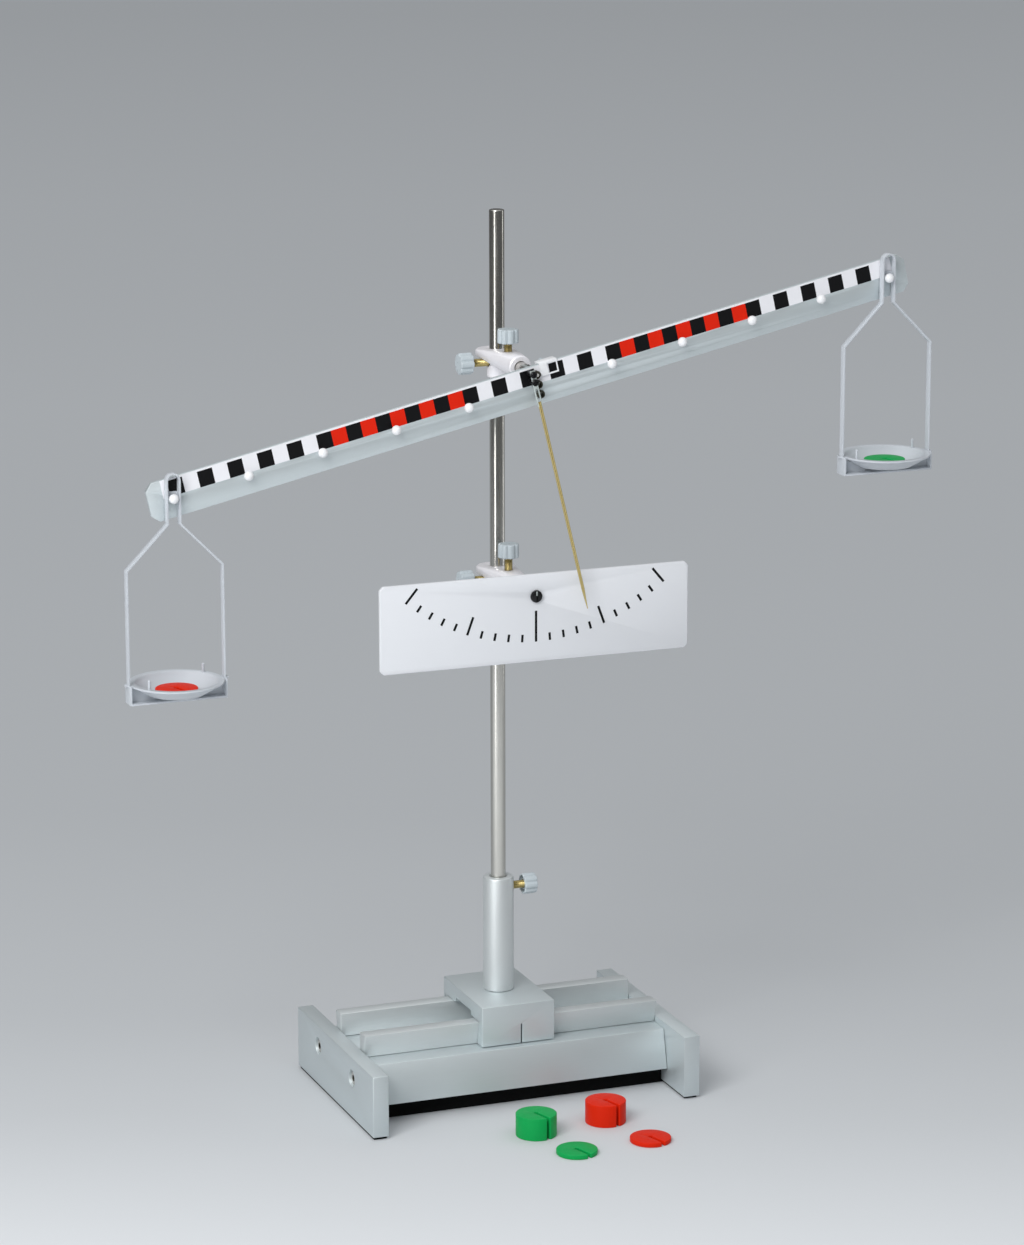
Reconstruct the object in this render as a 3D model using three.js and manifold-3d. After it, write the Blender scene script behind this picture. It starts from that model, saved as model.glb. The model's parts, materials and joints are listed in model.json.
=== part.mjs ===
// Demonstration beam balance for the classroom: an equal-arm beam with two hanging pans,
// a pointer and a dial, clamped to a rod that stands on a carriage on a short profile rail.
// Millimetres, +Z up, +X along the rail to the right, -Y towards the person who reads the dial.

import * as THREE from 'three';
import { mergeVertices } from 'three/addons/utils/BufferGeometryUtils.js';
import Module from 'manifold-3d';

const wasm = await Module();
wasm.setup();

// ---------- driving dimensions ----------

const gap = 0.3; // between pieces that touch

const rail = {
  length: 231, // over the end plates
  offset: -1.5, // middle of the rail from the column
  plateThickness: 11,
  plateDepth: 156,
  plateTop: 43.5,
  padThickness: 1.5,
  underbodyHalf: 39.5, // half depth of the block under the bed
  bedBottom: 12.6,
  bedTop: 39,
  bedHalfTop: 43,
  bedHalfBottom: 49.5,
  channelHalf: 27,
  channelTop: 31,
  ribInner: 19.5,
  ribOuter: 30.5,
  ribUndercut: 4,
  ribTop: 55,
};
const boltHoles = { apart: 70, height: 29, sinkRadius: 5.8, sinkDepth: 6.5, radius: 3 };

const carriage = {
  width: 51.5,
  depth: 74.5,
  top: 67,
  bottom: 39.6,
  roof: 58.7, // underside between the ribs
  slide: 55.5, // underside over the ribs
};
const sleeve = { radius: 10.3, top: 146, screwHeight: 138.2, knobAt: 17 };
const rod = { radius: 5, bottom: 67.3, top: 594.3, bore: 5.3 };

const thumb = { radius: 7.2, length: 9.2, lobes: 8, studRadius: 2.7, holeRadius: 3.1 };
const clamp = {
  upper: 497.7, // height of the axle that the upper clamp holds
  lower: 353,
  coreRadius: 6.6,
  coreBelow: 13,
  lobeRadius: 13,
  lobeBack: 3,
  deckTop: 5,
  deckThickness: 4.5, // at the lobe
  collarRadius: 7.7,
  collarLength: 8,
  front: 43,
  boreRadius: 4.3,
  boreDepth: 28,
  topScrewAt: 20.3,
  sideScrewDrop: 3,
  sideKnobAt: 17.8,
};

const beam = {
  tilt: THREE.MathUtils.degToRad(12.68),
  halfLength: 265,
  halfHeight: 12.6,
  middle: -0.4, // of its height, from the line of the pins
  thickness: 3.5,
  face: -69.6, // y of the front face
  corner: 4.5,
  holeStep: 6.5, // between the three bearing eyelets
  pinStep: 50,
  pins: 5, // on each arm
};
const pin = { radius: 1, holeRadius: 1.4, depth: 2.6, ballRadius: 3.1, ballAt: -75.2 };
const eyelet = { flange: 2.7, tube: 2, bore: 1.5, hole: 2.3, proud: 2.4 };
const axle = { radius: 4, shoulder: 62, spindle: 1.2, tip: 73 };
const pointer = {
  radius: 1.15,
  length: 158,
  lean: THREE.MathUtils.degToRad(0.95),
  y: -77,
  at: -4.3, // along the beam
  tongue: { halfWidth: 1.9, top: 5, bottom: -20 },
  screws: { upper: 2.4, lower: -2.8 }, // heights
};

const dial = { width: 212.8, height: 57.8, thickness: 3, face: -69.9, corner: 2.5, middle: 338.6 };
const dialScrew = { radius: 4, head: 2.1, shank: 2, hole: 2.5 };

const bail = {
  strip: 1.2,
  front: -75, // the strip lies between these two planes
  back: -70.2,
  neckHalf: 4.7, // outer half widths and heights, measured from the pin
  neckTop: 16.2,
  neckBottom: -16,
  shoulder: -43.6,
  half: 31.7,
  bottom: -128.8,
  footDepth: 12,
  footHeight: 12,
  web: 1.2,
  tab: 1.8,
};
const bowl = { rimRadius: 30.2, rimTop: -116.5, floorRadius: 16.5, floor: -123.4, wall: 1.3 };
const peg = { radius: 0.9, height: 6, at: 27, turn: { left: 35, right: 22 } }; // turned in degrees
const panY = -72.7; // middle of each pan

const tare = {
  from: 3.2, // along the beam
  to: 15.6,
  bottom: 4.3, // of the front tab, from the line of the pins
  wall: 0.8,
  backWall: 3,
  window: { from: 8.6, to: 14.7, border: 1 },
  knobRadius: 4.6,
  knobLength: 6,
};

const weight = { radius: 13.5, thick: 15, thin: 3, slot: 2.3, core: 1.5, lift: 0.3 };
const panWeight = { red: 2.1, green: 3 }; // heights; the red disc is of metal and outweighs the green
const slotTurn = -74; // degrees

// ---------- materials ----------

const material = (color, roughness, metalness = 0) =>
  new THREE.MeshStandardMaterial({ color, roughness, metalness });
const anodised = material(0xaab3b8, 0.45, 0.85);
const brightAluminium = material(0xc9cfce, 0.4, 0.85);
const steel = material(0xa8a59c, 0.3, 1);
const brass = material(0xa3905a, 0.35, 1);
const castMetal = material(0xe4e4e8, 0.4, 0.5);
const greyPlastic = material(0xaebac2, 0.4);
const whitePlastic = material(0xf1f2f4, 0.45);
const blackMetal = material(0x17181a, 0.5, 0.3);
const blackRubber = material(0x101012, 0.85);
const redPaint = material(0xdd2a10, 0.45);
const greenPaint = material(0x12a648, 0.45);

// ---------- solids ----------

const segmentsFor = (radius) => (radius < 3 ? 12 : radius < 6.5 ? 20 : radius < 12 ? 28 : 40);

// A closed geometry as a manifold solid. Slivers that meet the axis of a lathe are dropped.
function solid(geometry) {
  const bare = geometry.clone();
  bare.deleteAttribute('normal');
  bare.deleteAttribute('uv');
  const merged = mergeVertices(bare, 1e-4);
  const index = merged.index.array;
  const triangles = [];
  for (let i = 0; i < index.length; i += 3) {
    const [a, b, c] = index.slice(i, i + 3);
    if (a !== b && b !== c && c !== a) triangles.push(a, b, c);
  }
  const vertProperties = new Float32Array(merged.attributes.position.array);
  const triVerts = new Uint32Array(triangles);
  return new wasm.Manifold(new wasm.Mesh({ numProp: 3, vertProperties, triVerts }));
}

function geometryOf(manifold) {
  const { vertProperties, triVerts } = manifold.getMesh();
  const geometry = new THREE.BufferGeometry();
  geometry.setAttribute('position', new THREE.BufferAttribute(vertProperties, 3));
  geometry.setIndex(new THREE.BufferAttribute(triVerts, 1));
  geometry.computeVertexNormals();
  return geometry;
}

const join = (...pieces) => pieces.reduce((whole, piece) => whole.add(piece));
const cut = (body, ...tools) => tools.reduce((left, tool) => left.subtract(tool), body);

// A box between two corners.
function block([x0, y0, z0], [x1, y1, z1]) {
  const box = new THREE.BoxGeometry(x1 - x0, y1 - y0, z1 - z0);
  return solid(box.translate((x0 + x1) / 2, (y0 + y1) / 2, (z0 + z1) / 2));
}

// A round bar along one axis, from one place on it to another, through a point off the axis.
function bar(axis, radius, from, to, through = [0, 0, 0]) {
  const geometry = new THREE.CylinderGeometry(radius, radius, Math.abs(to - from), segmentsFor(radius));
  if (axis === 'x') geometry.rotateZ(Math.PI / 2);
  if (axis === 'z') geometry.rotateX(Math.PI / 2);
  const middle = new THREE.Vector3(...through);
  middle[axis] = (from + to) / 2;
  return solid(geometry.translate(...middle));
}

// A turned piece about Z. The profile runs up its outside, as [radius, height] pairs.
function turned(profile, segments = 28) {
  const points = profile.map(([radius, height]) => new THREE.Vector2(radius, height));
  return solid(new THREE.LatheGeometry(points, segments).rotateX(Math.PI / 2));
}

function shapeOf(points) {
  return new THREE.Shape(points.map(([u, v]) => new THREE.Vector2(u, v)));
}

// An outline in X and Z, given thickness along Y between two planes.
function plateXZ(shape, yFront, yBack) {
  const geometry = new THREE.ExtrudeGeometry(shape, { depth: yBack - yFront, bevelEnabled: false });
  return solid(geometry.rotateX(Math.PI / 2).translate(0, yBack, 0));
}

// An outline in Y and Z, drawn out along X between two planes.
function profileYZ(points, x0, x1) {
  const geometry = new THREE.ExtrudeGeometry(shapeOf(points), { depth: x1 - x0, bevelEnabled: false });
  const turn = new THREE.Matrix4().makeBasis(
    new THREE.Vector3(0, 1, 0),
    new THREE.Vector3(0, 0, 1),
    new THREE.Vector3(1, 0, 0),
  );
  return solid(geometry.applyMatrix4(turn).translate(x0, 0, 0));
}

// A rectangle with its corners cut off at 45 degrees.
function chamferedRectangle(halfWidth, halfHeight, corner) {
  const [w, h, c] = [halfWidth, halfHeight, corner];
  return shapeOf([
    [-w + c, -h], [w - c, -h], [w, -h + c], [w, h - c],
    [w - c, h], [-w + c, h], [-w, h - c], [-w, -h + c],
  ]);
}

function part(name, manifold, look) {
  const mesh = new THREE.Mesh(geometryOf(manifold), look);
  mesh.name = name;
  return mesh;
}

function group(...children) {
  return new THREE.Group().add(...children);
}

// ---------- rail ----------

const railLeft = rail.offset - rail.length / 2;
const railRight = rail.offset + rail.length / 2;
const innerLeft = railLeft + rail.plateThickness;
const innerRight = railRight - rail.plateThickness;

function endPlate(outer, inner) {
  const halfDepth = rail.plateDepth / 2;
  const [x0, x1] = [Math.min(outer, inner), Math.max(outer, inner)];
  let plate = block([x0, -halfDepth, rail.padThickness + gap], [x1, halfDepth, rail.plateTop]);
  const inward = Math.sign(inner - outer);
  const { apart, height, sinkRadius, sinkDepth, radius } = boltHoles;
  for (const side of [-1, 1]) {
    const through = [0, (side * apart) / 2, height];
    const sink = bar('x', sinkRadius, outer - inward, outer + inward * sinkDepth, through);
    plate = cut(plate, sink, bar('x', radius, outer, inner + inward, through));
  }
  return plate;
}

// Cap screw: its head sits in the counterbore and its shank runs into the bed.
function plateScrew(outer, side) {
  const inward = Math.sign(rail.offset - outer);
  const through = [0, (side * boltHoles.apart) / 2, boltHoles.height];
  const headFrom = outer + inward * 1.2;
  const headTo = outer + inward * (boltHoles.sinkDepth - gap);
  const head = bar('x', 4.6, headFrom, headTo, through);
  const shank = bar('x', 2.5, headTo - inward, outer + inward * 26, through);
  const socket = bar('x', 2, headFrom - inward, headFrom + inward * 2.4, through);
  return cut(join(head, shank), socket);
}

function railBed() {
  const { bedBottom, bedTop, bedHalfTop, bedHalfBottom, channelHalf, channelTop } = rail;
  let bed = profileYZ([
    [-bedHalfBottom, bedBottom], [-channelHalf, bedBottom], [-channelHalf, channelTop],
    [channelHalf, channelTop], [channelHalf, bedBottom], [bedHalfBottom, bedBottom],
    [bedHalfTop, bedTop], [-bedHalfTop, bedTop],
  ], innerLeft + gap, innerRight - gap);
  for (const [end, inward] of [[innerLeft, 1], [innerRight, -1]]) {
    for (const side of [-1, 1]) {
      const through = [0, (side * boltHoles.apart) / 2, boltHoles.height];
      bed = cut(bed, bar('x', 2.8, end - inward, end + inward * 16, through));
    }
  }
  return bed;
}

// Slide bar with an undercut outer side that the carriage grips.
function rib(side) {
  const foot = rail.bedTop + gap;
  const points = [
    [rail.ribInner, foot], [rail.ribOuter - rail.ribUndercut, foot],
    [rail.ribOuter, rail.ribTop], [rail.ribInner, rail.ribTop],
  ];
  const drawn = side > 0 ? points : points.map(([y, z]) => [-y, z]).reverse();
  return profileYZ(drawn, innerLeft + gap, innerRight - gap);
}

// Rubber underbody: a block under the bed, set back from its edges, and a pad under each plate.
function underbody() {
  const { padThickness, underbodyHalf, bedBottom, plateDepth } = rail;
  const [left, right] = [railLeft + 1, railRight - 1];
  const padHalf = plateDepth / 2 - 2;
  return join(
    block([left, -padHalf, 0], [innerLeft - 1, padHalf, padThickness]),
    block([innerRight + 1, -padHalf, 0], [right, padHalf, padThickness]),
    block([left, -underbodyHalf, 0], [right, underbodyHalf, padThickness]),
    block(
      [innerLeft + gap, -underbodyHalf, 0],
      [innerRight - gap, underbodyHalf, bedBottom - gap],
    ),
  );
}

function makeRail() {
  return group(
    part('left_end_plate', endPlate(railLeft, innerLeft), anodised),
    part('right_end_plate', endPlate(railRight, innerRight), anodised),
    part('rail_bed', railBed(), anodised),
    part('front_slide_bar', rib(-1), brightAluminium),
    part('rear_slide_bar', rib(1), brightAluminium),
    part('left_front_plate_screw', plateScrew(railLeft, -1), steel),
    part('left_rear_plate_screw', plateScrew(railLeft, 1), steel),
    part('right_front_plate_screw', plateScrew(railRight, -1), steel),
    part('right_rear_plate_screw', plateScrew(railRight, 1), steel),
    part('underbody', underbody(), blackRubber),
  );
}

// ---------- thumbscrews ----------

// Knob with rounded flutes, along +Z from its hollow face at 0, and its stud along -Z.
function thumbKnob(radius = thumb.radius, length = thumb.length) {
  const steps = thumb.lobes * 6;
  const outline = Array.from({ length: steps }, (_, i) => {
    const angle = (i / steps) * 2 * Math.PI;
    const r = radius * (0.955 + 0.045 * Math.cos(thumb.lobes * angle));
    return [r * Math.cos(angle), r * Math.sin(angle)];
  });
  const options = { depth: length - 1, bevelThickness: 1, bevelSize: 1, bevelOffset: -1, bevelSegments: 1 };
  const fluted = solid(new THREE.ExtrudeGeometry(shapeOf(outline), options));
  const squareFoot = block([-radius, -radius, 0], [radius, radius, length]);
  const recess = cut(bar('z', radius * 0.7, -1, length * 0.4), bar('z', radius * 0.5, -2, length));
  return cut(fluted.intersect(squareFoot), recess, bar('z', thumb.holeRadius, -1, length * 0.6));
}

function thumbStud(reach) {
  return bar('z', thumb.studRadius, -reach, thumb.length * 0.6 - gap);
}

// A thumbscrew whose knob face is at a place, pointing away along an axis.
function thumbscrew(name, reach, position, rotation) {
  const screw = group(
    part(`${name}_knob`, thumbKnob(), greyPlastic),
    part(`${name}_stud`, thumbStud(reach), brass),
  );
  screw.position.set(...position);
  screw.rotation.set(...rotation);
  return screw;
}

const pointingUp = [0, 0, 0];
const pointingLeft = [0, -Math.PI / 2, 0];
const pointingRight = [0, Math.PI / 2, 0];

// ---------- carriage, sleeve and rod ----------

function carriageBlock() {
  const halfDepth = carriage.depth / 2;
  const halfWidth = carriage.width / 2;
  const slot = 0.6; // clearance round the slide bars
  const grip = [rail.ribOuter + slot, rail.ribOuter - rail.ribUndercut + slot];
  const rightHalf = [
    [15, carriage.roof], [15, carriage.slide], [grip[0], carriage.slide],
    [grip[1], carriage.bottom], [halfDepth, carriage.bottom], [halfDepth, carriage.top],
  ];
  const leftHalf = rightHalf.map(([y, z]) => [-y, z]).reverse();
  const body = profileYZ([...rightHalf, ...leftHalf], -halfWidth, halfWidth);
  const slit = block([1.9, -halfDepth - 1, carriage.bottom - 1], [2.9, -rail.ribInner, 52.8]);
  const screwHole = bar('x', 1.6, -halfWidth - 1, -halfWidth + 8, [0, 34, 53]);
  return cut(body, slit, screwHole);
}

function columnSleeve() {
  const foot = carriage.top + gap;
  const { radius, top, screwHeight } = sleeve;
  const tube = turned([
    [rod.bore, foot], [radius, foot], [radius, top - 1.2], [radius - 1.2, top],
    [rod.bore + 0.8, top], [rod.bore, top - 0.8], [rod.bore, foot],
  ]);
  return cut(tube, bar('x', thumb.holeRadius, 0, radius + 1, [0, 0, screwHeight]));
}

function supportRod() {
  const { radius, bottom, top } = rod;
  return turned([
    [0, bottom], [radius - 0.8, bottom], [radius, bottom + 0.8],
    [radius, top - 0.8], [radius - 0.8, top], [0, top],
  ], 24);
}

function makeCarriage() {
  const setScrew = bar('x', 1.3, -carriage.width / 2 + 0.8, -carriage.width / 2 + 7.5, [0, 34, 53]);
  const reach = sleeve.knobAt - rod.radius - 0.5;
  return group(
    part('carriage_block', carriageBlock(), anodised),
    part('carriage_set_screw', setScrew, blackMetal),
    part('column_sleeve', columnSleeve(), brightAluminium),
    thumbscrew('sleeve_thumbscrew', reach, [sleeve.knobAt, 0, sleeve.screwHeight], pointingRight),
    part('support_rod', supportRod(), steel),
  );
}

// ---------- clamps ----------

// Cast clamp: a core round the rod and a deck on top of it, which deepens and narrows from
// its round lobe to a collar that holds a horizontal axle. Its origin is where the axle's
// line meets the rod's.
function clampBody() {
  const c = clamp;
  const lobe = bar('z', c.lobeRadius, c.deckTop - c.deckThickness, c.deckTop, [0, c.lobeBack, 0]);
  const collar = bar('y', c.collarRadius, -c.front, -c.front + c.collarLength);
  const casting = join(
    wasm.Manifold.hull([lobe, collar]),
    bar('z', c.coreRadius, -c.coreBelow, c.deckTop - 1),
  );
  return cut(
    casting,
    bar('z', rod.bore, -20, 20),
    bar('y', c.boreRadius, -c.front - 1, -c.front + c.boreDepth),
    bar('x', thumb.holeRadius, -c.lobeRadius - 1, 0, [0, 0, -c.sideScrewDrop]),
    bar('z', thumb.holeRadius, 0, c.collarRadius, [0, -c.topScrewAt, 0]),
  );
}

function makeClamp(name, topKnobAt) {
  const sideReach = clamp.sideKnobAt - rod.radius - 0.5;
  const topReach = topKnobAt - axle.radius - 0.3;
  const side = [-clamp.sideKnobAt, 0, -clamp.sideScrewDrop];
  return group(
    part(`${name}_clamp`, clampBody(), castMetal),
    thumbscrew(`${name}_side_screw`, sideReach, side, pointingLeft),
    thumbscrew(`${name}_top_screw`, topReach, [0, -clamp.topScrewAt, topKnobAt], pointingUp),
  );
}

function beamAxle() {
  return join(
    bar('y', axle.radius, -axle.shoulder, -clamp.front + clamp.boreDepth - 1),
    bar('y', axle.spindle, -axle.tip, -axle.shoulder + 1),
  );
}

function makeUpperClamp() {
  const upper = makeClamp('upper', 12.4);
  upper.add(part('beam_axle', beamAxle(), steel));
  upper.position.z = clamp.upper;
  return upper;
}

// ---------- dial ----------

function dialSpindle() {
  const back = dial.face + dial.thickness + gap;
  const rodPart = bar('y', axle.radius, back, -clamp.front + clamp.boreDepth - 1);
  return cut(rodPart, bar('y', dialScrew.hole, back - 1, back + 10));
}

function makeLowerClamp() {
  const drop = dial.middle - clamp.lower;
  const shape = chamferedRectangle(dial.width / 2, dial.height / 2, dial.corner);
  const plate = plateXZ(shape, dial.face, dial.face + dial.thickness).translate([0, 0, drop]);
  const { radius, head, shank } = dialScrew;
  const seat = dial.face - gap;
  const slot = block([-0.6, seat - head - 1, -radius], [0.6, seat - head + 1, radius]);
  const round = join(bar('y', radius, seat - head, seat), bar('y', shank, seat - 0.5, seat + 12));
  const lower = makeClamp('lower', 15.3);
  lower.add(
    part('dial_spindle', dialSpindle(), steel),
    part('dial_plate', cut(plate, bar('y', dialScrew.hole, -80, -60)), whitePlastic),
    part('dial_screw', cut(round, slot), blackMetal),
  );
  lower.position.z = clamp.lower;
  return lower;
}

// ---------- beam ----------
// Along the beam is X and across it is Z. Z is 0 at the bearing eyelet that the axle is in,
// so the line of the pins lies one hole step below.

const pinLine = -beam.holeStep;
const beamBack = beam.face + beam.thickness;
const beamTop = pinLine + beam.middle + beam.halfHeight;
const tongueHalf = 0.6; // half the thickness of the pointer's tongue
const pinPlaces = [];
for (let n = -beam.pins; n <= beam.pins; n += 1) {
  if (n !== 0) pinPlaces.push(n * beam.pinStep);
}

function beamBar() {
  const shape = chamferedRectangle(beam.halfLength, beam.halfHeight, beam.corner);
  let body = plateXZ(shape, beam.face, beamBack).translate([0, 0, pinLine + beam.middle]);
  for (const x of pinPlaces) {
    body = cut(body, bar('y', pin.holeRadius, beam.face - 1, beam.face + pin.depth, [x, 0, pinLine]));
  }
  for (const step of [0, 1, 2]) {
    const through = [0, 0, -step * beam.holeStep];
    body = cut(body, bar('y', eyelet.hole, beam.face - 1, beamBack + 1, through));
  }
  for (const height of Object.values(pointer.screws)) {
    body = cut(body, bar('y', 1.4, beam.face - 1, beam.face + pin.depth, [pointer.at, 0, height]));
  }
  return body;
}

// Pin with a ball head, along -Y from the bottom of its hole.
function ballPin() {
  const root = beam.face + pin.depth - gap;
  const profile = [[0, 0], [pin.radius, 0]];
  const toBall = root - pin.ballAt;
  const start = Math.asin(pin.radius / pin.ballRadius);
  const arcs = 6;
  for (let i = 0; i < arcs; i += 1) {
    const angle = start + ((Math.PI - start) * i) / arcs;
    profile.push([pin.ballRadius * Math.sin(angle), toBall - pin.ballRadius * Math.cos(angle)]);
  }
  profile.push([0, toBall + pin.ballRadius]);
  return turned(profile, 12).rotate([90, 0, 0]).translate([0, root, 0]);
}

function bearingEyelet() {
  const front = beam.face - gap;
  const profile = [
    [eyelet.bore, 0], [eyelet.flange, 0], [eyelet.flange, eyelet.proud], [eyelet.tube, eyelet.proud],
    [eyelet.tube, eyelet.proud + beam.thickness], [eyelet.bore, eyelet.proud + beam.thickness],
    [eyelet.bore, 0],
  ];
  return turned(profile, 16).rotate([-90, 0, 0]).translate([0, front - eyelet.proud, 0]);
}

// Brass needle on a flat tongue, held by two screws beside the eyelets. It leans a little.
function pointerNeedle() {
  const { radius, length, tongue, y, lean } = pointer;
  const taper = 14;
  const needle = turned([
    [0, -length], [radius * 0.3, -length], [radius, -length + taper],
    [radius, tongue.bottom + 4], [0, tongue.bottom + 4],
  ], 12).translate([0, y, 0]);
  const plate = block(
    [-tongue.halfWidth, y - tongueHalf, tongue.bottom],
    [tongue.halfWidth, y + tongueHalf, tongue.top],
  );
  const holes = Object.values(pointer.screws).map((height) => bar('y', 1.5, y - 2, y + 2, [0, 0, height]));
  return cut(join(needle, plate).rotate([0, THREE.MathUtils.radToDeg(-lean), 0]), ...holes);
}

// Screw that carries the pointer, with a shoulder that stands it off the beam.
function pointerScrew() {
  const front = pointer.y - tongueHalf - gap;
  const back = pointer.y + tongueHalf + gap;
  const head = bar('y', 2.2, front - 1.4, front);
  const shank = bar('y', 1.1, front - 0.5, beam.face + pin.depth - gap);
  const shoulder = bar('y', 1.8, back, beam.face - gap);
  const cross = join(
    block([-1.8, front - 2, -0.35], [1.8, front - 0.8, 0.35]),
    block([-0.35, front - 2, -1.8], [0.35, front - 0.8, 1.8]),
  );
  return cut(join(head, shank, shoulder), cross);
}

// Clip that straddles the top edge of the beam, with a window in its front tab.
function tareClip() {
  const { from, to, wall, backWall, window } = tare;
  const top = beamTop + gap;
  const bottom = pinLine + tare.bottom;
  const front = beam.face - gap;
  const back = beamBack + gap;
  const backLow = bottom - 4;
  const outer = block([from, front - wall, backLow], [to, back + backWall, top + wall]);
  const inside = block([from - 1, front, backLow - 1], [to + 1, back, top]);
  const frontLow = block([from - 1, front - 2, backLow - 1], [to + 1, front + 1, bottom]);
  const pane = block(
    [window.from, front - 2, bottom + window.border],
    [window.to, front + 1, top - window.border],
  );
  const screwHole = bar('y', 1.7, back - 1, back + backWall + 1, [(from + to) / 2, 0, (bottom + top) / 2]);
  return cut(outer, inside, frontLow, pane, screwHole);
}

// Small fluted screw at the back of the clip, with its own threaded stem.
function tareKnob() {
  const stem = bar('z', 1.4, -tare.backWall, 1);
  const core = bar('z', thumb.holeRadius + 0.4, 0, 5);
  return join(thumbKnob(tare.knobRadius, tare.knobLength), core, stem).rotate([-90, 0, 0]);
}

function makeBeam() {
  const swing = group(part('beam_bar', beamBar(), anodised));
  for (const x of pinPlaces) {
    const side = x < 0 ? 'left' : 'right';
    const stud = part(`${side}_pin_${Math.abs(x) / beam.pinStep}`, ballPin(), whitePlastic);
    stud.position.set(x, 0, pinLine);
    swing.add(stud);
  }
  ['top', 'middle', 'bottom'].forEach((place, step) => {
    const ring = part(`${place}_bearing_eyelet`, bearingEyelet(), brass);
    ring.position.z = -step * beam.holeStep;
    swing.add(ring);
  });
  for (const [place, height] of Object.entries(pointer.screws)) {
    const screw = part(`${place}_pointer_screw`, pointerScrew(), blackMetal);
    screw.position.set(pointer.at, 0, height);
    swing.add(screw);
  }
  const needle = part('pointer', pointerNeedle(), brass);
  needle.position.x = pointer.at;
  const knob = part('tare_knob', tareKnob(), greyPlastic);
  const knobHeight = (pinLine + tare.bottom + beamTop + gap) / 2;
  knob.position.set((tare.from + tare.to) / 2, beamBack + gap + tare.backWall + gap, knobHeight);
  swing.add(needle, part('tare_clip', tareClip(), whitePlastic), knob);
  swing.rotation.y = -beam.tilt;
  swing.position.z = clamp.upper;
  return swing;
}

// ---------- pans ----------
// Measured from the pin that the pan hangs on.

// The bail's centre line drawn as an outline, inset from its outer edge.
function bailOutline(inset) {
  const b = bail;
  const slope = (b.neckBottom - b.shoulder) / (b.half - b.neckHalf);
  const corner = inset * (Math.hypot(slope, 1) - 1) / slope;
  const neck = b.neckHalf - inset;
  const half = b.half - inset;
  const arc = [];
  for (let i = 0; i <= 6; i += 1) {
    const angle = (Math.PI * i) / 6;
    arc.push([neck * Math.cos(angle), b.neckTop - b.neckHalf + neck * Math.sin(angle)]);
  }
  return [
    [-half, b.bottom + inset], [half, b.bottom + inset], [half, b.shoulder - corner],
    [neck, b.neckBottom - corner], ...arc, [-neck, b.neckBottom - corner], [-half, b.shoulder - corner],
  ];
}

function panBail() {
  const b = bail;
  const frame = plateXZ(shapeOf(bailOutline(0)), b.front, b.back);
  const window = plateXZ(shapeOf(bailOutline(b.strip)), b.front - 1, b.back + 1);
  const footFront = panY - b.footDepth / 2;
  const footBack = panY + b.footDepth / 2;
  const feet = [-1, 1].map((side) => {
    const [x0, x1] = side < 0 ? [-b.half, -b.half + b.strip] : [b.half - b.strip, b.half];
    return block([x0, footFront, b.bottom], [x1, footBack, b.bottom + b.footHeight]);
  });
  const bridge = block([-b.half, footFront, b.bottom], [b.half, footBack, b.bottom + b.strip]);
  const saddle = block([-b.neckHalf + 0.5, b.back - 1.2, 1.3], [b.neckHalf - 0.5, b.back, 4]);
  const tabs = block([-b.half - b.tab, panY - 2, -117.4], [b.half + b.tab, panY + 2, -116.4]);
  const inside = block([-b.half + b.strip, b.front - 1, -118], [b.half - b.strip, b.back + 1, -116]);
  return join(cut(frame, window), ...feet, bridge, saddle, cut(tabs, inside), ...bailWebs());
}

// Two upright webs from the bail's bottom corners that the bowl rests on.
function bailWebs() {
  const { half, bottom, web } = bail;
  const { floor, wall, floorRadius, rimTop } = bowl;
  const under = floor - wall - gap;
  const outline = [
    [-half + 0.5, bottom + 0.5], [-14, bottom + 0.5], [-14, under], [-floorRadius - 0.8, under],
    [-half + 5, rimTop - 3.1], [-half + 0.5, rimTop - 1.6],
  ];
  const left = plateXZ(shapeOf(outline), panY - web / 2, panY + web / 2);
  return [left, left.mirror([1, 0, 0])];
}

// Shallow dish with a flat rim and two pegs on it.
function panBowl(side) {
  const { rimRadius, rimTop, floorRadius, floor, wall } = bowl;
  const lip = rimRadius - 4;
  let dish = turned([
    [0, floor - wall], [floorRadius + 1, floor - wall], [lip + 0.8, rimTop - 2.6],
    [rimRadius, rimTop - wall], [rimRadius, rimTop], [lip, rimTop], [lip - 1.6, rimTop - 1.4],
    [floorRadius, floor], [0, floor],
  ], 40);
  for (const degrees of [peg.turn[side], peg.turn[side] + 180]) {
    const angle = THREE.MathUtils.degToRad(degrees);
    const [x, y] = [peg.at * Math.cos(angle), peg.at * Math.sin(angle)];
    dish = join(dish, bar('z', peg.radius, rimTop - 0.6, rimTop + peg.height, [x, y, 0]));
  }
  return dish;
}

// ---------- weights ----------

// Disc with a slot from its middle to its rim, so that it can be hung on a thin wire.
function slottedDisc(height) {
  const { radius, slot, core } = weight;
  const disc = bar('z', radius, 0, height);
  const channel = block([0, -slot / 2, -1], [radius + 1, slot / 2, height + 1]);
  return cut(disc, channel, bar('z', core, -1, height + 1)).rotate([0, 0, slotTurn]);
}

function makePan(side, discHeight, paint) {
  const dish = part(`${side}_bowl`, panBowl(side), whitePlastic);
  const disc = part(`${side}_pan_weight`, slottedDisc(discHeight), paint);
  dish.position.y = panY;
  disc.position.set(0, panY, bowl.floor + weight.lift);
  const pan = group(part(`${side}_bail`, panBail(), whitePlastic), dish, disc);
  const arm = (side === 'left' ? -1 : 1) * beam.pins * beam.pinStep;
  pan.position.set(
    arm * Math.cos(beam.tilt) - pinLine * Math.sin(beam.tilt),
    0,
    clamp.upper + arm * Math.sin(beam.tilt) + pinLine * Math.cos(beam.tilt),
  );
  return pan;
}

function looseWeight(name, height, paint, x, y) {
  const disc = part(name, slottedDisc(height), paint);
  disc.position.set(x, y, 0);
  return disc;
}

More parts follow.
